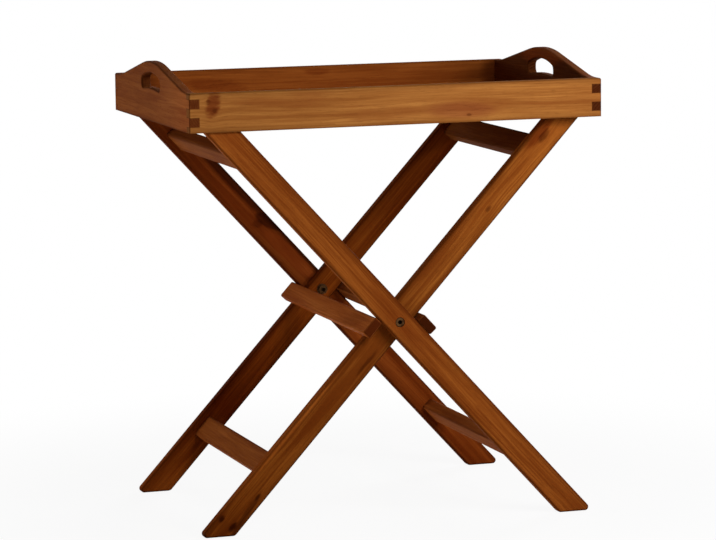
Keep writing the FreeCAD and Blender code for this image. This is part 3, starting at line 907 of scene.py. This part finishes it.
# Each light's place, what it shines at and its diameter
LIGHTS = {
    "key_light": ((0.3, -2.2, 1.9), (0, -0.1, 0.42), 0.7),
    "side_light": ((0.7, -1.0, 0.9), (0.2, -0.2, 0.5), 0.4),
    "floor_light": ((-1.2, -0.6, 0.02), (-1.2, -0.6, 1.0), 1.6),
    "rear_light": ((-2.0, 1.0, 0.4), (-0.2, 0, 0.45), 1.0),
    "back_light": ((2.0, 1.9, 1.2), (0.1, 0.1, 0.45), 1.0),
}


def studio_rays(graph):
    """1 for rays that see the background: straight from the camera, mirrored or through glass."""
    seen = [graph.node("ShaderNodeLightPath", None, None, kind)
            for kind in ("Is Camera Ray", "Is Glossy Ray", "Is Transmission Ray")]
    return seen[0].math("MAXIMUM", seen[1]).math("MAXIMUM", seen[2])


def studio_floor(stage):
    """A pale floor that fades to white away from the object and keeps its shadow."""
    bpy.ops.mesh.primitive_circle_add(vertices=FLOOR_SIDES, radius=FLOOR_REACH * stage.floor_radius,
                                      fill_type="NGON")
    floor = bpy.context.object
    floor.name = "studio_floor"
    graph = material_graph("studio_floor")
    place = graph.coordinate("Object")
    span = graph.node("ShaderNodeVectorMath", {"operation": "LENGTH"}, {0: place}, "Value")
    fade = graph.rise(span, FLOOR_FADE_START * stage.floor_radius, stage.floor_radius)
    white = studio_rays(graph) * (fade * stage.floor_shadow + (1 - stage.floor_shadow))
    matt = graph.node("ShaderNodeBsdfDiffuse", None, {"Color": (*stage.floor_colour, 1)})
    glow = graph.node("ShaderNodeEmission", None, {"Color": (1, 1, 1, 1), "Strength": 1.0})
    shader = graph.node("ShaderNodeMixShader", None, {0: white, 1: matt, 2: glow})
    graph.node("ShaderNodeOutputMaterial", None, {"Surface": shader})
    floor.data.materials.append(graph.owner)


def studio_sky(stage):
    """A faint even light, white where the camera sees it."""
    graph = Graph(bpy.data.worlds.new("studio_sky"))
    strength = studio_rays(graph) * (1 - stage.sky_level) + stage.sky_level
    sky = graph.node("ShaderNodeBackground", None, {"Color": (1, 1, 1, 1), "Strength": strength})
    graph.node("ShaderNodeOutputWorld", None, {"Surface": sky})
    bpy.context.scene.world = graph.owner


def area_light(name, energy):
    """A round light at its place, turned to what it shines at."""
    place, target, diameter = LIGHTS[name]
    light = bpy.data.lights.new(name, "AREA")
    light.shape = "DISK"
    light.size = diameter
    light.energy = energy
    lamp = bpy.data.objects.new(name, light)
    lamp.location = place
    lamp.rotation_mode = "QUATERNION"
    lamp.rotation_quaternion = (Vector(target) - Vector(place)).to_track_quat("-Z", "Y")
    bpy.context.scene.collection.objects.link(lamp)


def studio_camera(stage):
    """The photograph's view: yaw about the vertical, pitch below the horizon and a little roll."""
    camera = bpy.data.cameras.new("photograph_view")
    camera.sensor_width = SENSOR_WIDTH
    camera.lens = FOCAL_LENGTH_PIXELS / IMAGE_WIDTH_PIXELS * SENSOR_WIDTH
    view = bpy.data.objects.new("photograph_view", camera)
    yaw = Matrix.Rotation(-stage.camera_yaw, 4, "Z")
    pitch = Matrix.Rotation(math.pi / 2 - stage.camera_pitch, 4, "X")
    roll = Matrix.Rotation(stage.camera_roll, 4, "Z")
    view.matrix_world = Matrix.Translation(stage.camera_place) @ yaw @ pitch @ roll
    bpy.context.scene.collection.objects.link(view)
    bpy.context.scene.camera = view


class TRAYTABLE_OT_stage(bpy.types.Operator):
    """Set the floor, the light and the camera"""

    bl_idname = "tray_table.stage"
    bl_label = "Set the stage"

    def execute(self, context):
        stage = context.scene.tray_table_stage
        context.scene.view_settings.view_transform = "Standard"
        studio_floor(stage)
        studio_sky(stage)
        for name in LIGHTS:
            area_light(name, getattr(stage, name))
        studio_camera(stage)
        return {"FINISHED"}


# Panel and registration

OPERATORS = (TRAYTABLE_OT_walls, TRAYTABLE_OT_ends, TRAYTABLE_OT_floor, TRAYTABLE_OT_legs, TRAYTABLE_OT_rails,
             TRAYTABLE_OT_dowels, TRAYTABLE_OT_pivots, TRAYTABLE_OT_stage)
SETTINGS = {
    "tray_table_teak": TeakSettings,
    "tray_table_hardware": HardwareSettings,
    "tray_table_stage": StageSettings,
}


class TRAYTABLE_PT_panel(bpy.types.Panel):
    """Lists the table's settings and the operators that use them"""

    bl_label = "Tray table"
    bl_idname = "TRAYTABLE_PT_panel"
    bl_space_type = "VIEW_3D"
    bl_region_type = "UI"
    bl_category = "Tray table"

    def draw(self, context):
        for group in SETTINGS:
            box = self.layout.box()
            settings = getattr(context.scene, group)
            for prop in settings.bl_rna.properties:
                if prop.identifier not in ("rna_type", "name"):
                    box.prop(settings, prop.identifier)
        for operator in OPERATORS:
            self.layout.operator(operator.bl_idname)


def register():
    for group, kind in SETTINGS.items():
        bpy.utils.register_class(kind)
        setattr(bpy.types.Scene, group, PointerProperty(type=kind))
    for kind in (*OPERATORS, TRAYTABLE_PT_panel):
        bpy.utils.register_class(kind)


def unregister():
    for kind in (TRAYTABLE_PT_panel, *reversed(OPERATORS)):
        bpy.utils.unregister_class(kind)
    for group, kind in SETTINGS.items():
        delattr(bpy.types.Scene, group)
        bpy.utils.unregister_class(kind)


def main():
    register()
    bpy.ops.tray_table.walls()
    bpy.ops.tray_table.ends()
    bpy.ops.tray_table.floor()
    bpy.ops.tray_table.legs()
    bpy.ops.tray_table.rails()
    bpy.ops.tray_table.dowels()
    bpy.ops.tray_table.pivots()
    bpy.ops.tray_table.stage()


if __name__ == "__main__":
    main()
